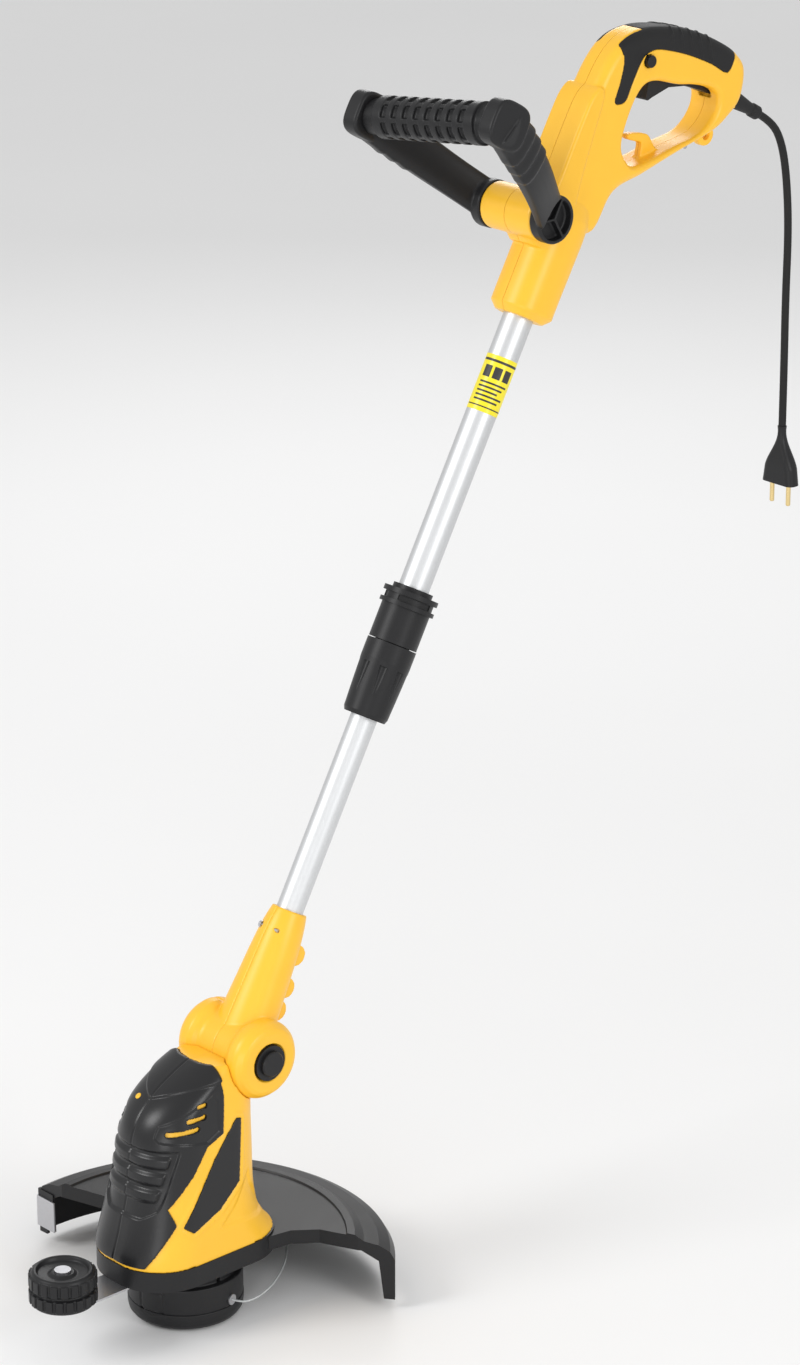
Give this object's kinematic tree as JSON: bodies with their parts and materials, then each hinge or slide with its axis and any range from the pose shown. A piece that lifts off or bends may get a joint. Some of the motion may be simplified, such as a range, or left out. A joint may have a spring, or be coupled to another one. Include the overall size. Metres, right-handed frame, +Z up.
{
  "type": "string trimmer",
  "caption": "Corded grass trimmer with a tilting motor head, bump-feed line spool, debris guard, edge guide wheel, telescoping swivel shaft and adjustable loop handle.",
  "frame": {"origin": "centre of the spool's flat bottom face, on the floor", "axes": "+Z up along the spool's axis, -Y towards the front of the head and its guide wheel, +X towards the operator's left; the shaft leans back towards +Y"},
  "size_m": [0.2853, 0.8252, 0.9595],
  "materials": {
    "yellow_plastic": "moulded, fine satin texture",
    "black_plastic": "moulded, satin",
    "soft_grip": "soft matt overmould",
    "cord_rubber": "smooth matt jacket",
    "tube_aluminium": "satin anodised",
    "steel": "bright zinc",
    "brass_parts": "bright",
    "label_film": "plain film",
    "nylon_line": "extruded nylon"
  },
  "bodies": {
    "handle": {"handle_shell_left": "yellow_plastic", "handle_shell_right": "yellow_plastic", "grip_overmould": "soft_grip", "handle_screws": "steel", "trigger_spring": "steel", "lock_spring": "steel", "switch_body": "black_plastic", "capacitor": "black_plastic", "strain_relief": "soft_grip", "upper_tube": "tube_aluminium", "tube_label": "label_film", "inner_lead": "cord_rubber", "collar_body": "black_plastic", "release_spring": "steel", "aux_pivot_bolt": "steel", "supply_cord": "cord_rubber", "plug_body": "black_plastic", "plug_pins": "brass_parts"},
    "release_sleeve": {"release_sleeve": "black_plastic"},
    "trigger": {"trigger": "black_plastic"},
    "lock_button": {"lock_button": "black_plastic"},
    "aux_handle": {"aux_arm_left": "black_plastic", "aux_arm_right": "black_plastic", "aux_grip": "black_plastic"},
    "swivel": {"swivel_body": "black_plastic", "collet": "black_plastic"},
    "lock_nut": {"lock_nut": "black_plastic"},
    "lower_shaft": {"lower_tube": "tube_aluminium", "lower_sleeve_left": "yellow_plastic", "lower_sleeve_right": "yellow_plastic", "sleeve_screws": "steel", "pivot_pin": "steel", "tilt_spring": "steel"},
    "tilt_button": {"tilt_button": "black_plastic"},
    "head": {"motor_housing_left": "yellow_plastic", "motor_housing_right": "yellow_plastic", "front_cover": "black_plastic", "side_inserts": "black_plastic", "base_ring": "black_plastic", "guard": "black_plastic", "guard_screws": "steel", "line_cutter": "steel", "wheel_plate": "steel", "axle_and_screws": "steel", "stator": "steel", "brushes": "brass_parts", "bearings": "steel"},
    "guide_wheel": {"guide_wheel": "black_plastic"},
    "rotor": {"motor_shaft": "steel", "armature": "steel", "cooling_fan": "black_plastic", "spool_housing": "black_plastic", "line_eyelet": "steel", "line_spool": "black_plastic", "cutting_line": "nylon_line", "spool_cover": "black_plastic", "spool_spring": "steel"},
    "bump_knob": {"bump_knob": "black_plastic"}
  },
  "joints": [
    {"name": "release_slide", "type": "slide", "parent": "handle", "child": "release_sleeve", "axis": [0, 0.4883, 0.8727], "range_m": [0, 0.006], "stiffness_N_per_m": 600, "deforming": ["release_spring"]},
    {"name": "trigger_pull", "type": "hinge", "parent": "handle", "child": "trigger", "pos_m": [0, 0.56063, 0.9043], "axis": [-1, 0, 0], "range_deg": [0, 6], "stiffness_Nm_per_rad": 1.5, "deforming": ["trigger_spring"]},
    {"name": "lock_press", "type": "slide", "parent": "handle", "child": "lock_button", "axis": [-1, 0, 0], "range_m": [0, 0.0038], "stiffness_N_per_m": 400, "deforming": ["lock_spring"]},
    {"name": "aux_handle_tilt", "type": "hinge", "parent": "handle", "child": "aux_handle", "pos_m": [0, 0.36081, 0.83391], "axis": [1, 0, 0], "range_deg": [-40, 20]},
    {"name": "shaft_swivel", "type": "hinge", "parent": "handle", "child": "swivel", "pos_m": [0, 0.22286, 0.50546], "axis": [0, 0.4883, 0.8727], "range_deg": [0, 180]},
    {"name": "lock_nut_turn", "type": "hinge", "parent": "swivel", "child": "lock_nut", "pos_m": [0, 0.20333, 0.47055], "axis": [0, 0.4883, 0.8727], "range_deg": [-90, 0]},
    {"name": "shaft_telescope", "type": "slide", "parent": "swivel", "child": "lower_shaft", "axis": [0, -0.4883, -0.8727], "range_m": [-0.15, 0.1]},
    {"name": "tilt_press", "type": "slide", "parent": "lower_shaft", "child": "tilt_button", "axis": [-1, 0, 0], "range_m": [0, 0.004], "stiffness_N_per_m": 700, "deforming": ["tilt_spring"]},
    {"name": "head_tilt", "type": "hinge", "parent": "lower_shaft", "child": "head", "pos_m": [0, 0.05683, 0.20875], "axis": [1, 0, 0], "range_deg": [-22, 40]},
    {"name": "rotor_spin", "type": "hinge", "parent": "head", "child": "rotor", "pos_m": [0, 0, 0.02], "axis": [0, 0, 1], "continuous": true},
    {"name": "bump_press", "type": "slide", "parent": "rotor", "child": "bump_knob", "axis": [0, 0, 1], "range_m": [0, 0.004], "stiffness_N_per_m": 900, "deforming": ["spool_spring"]},
    {"name": "wheel_spin", "type": "hinge", "parent": "head", "child": "guide_wheel", "pos_m": [0, -0.123, 0.06], "axis": [0, 0, 1], "continuous": true}
  ]
}
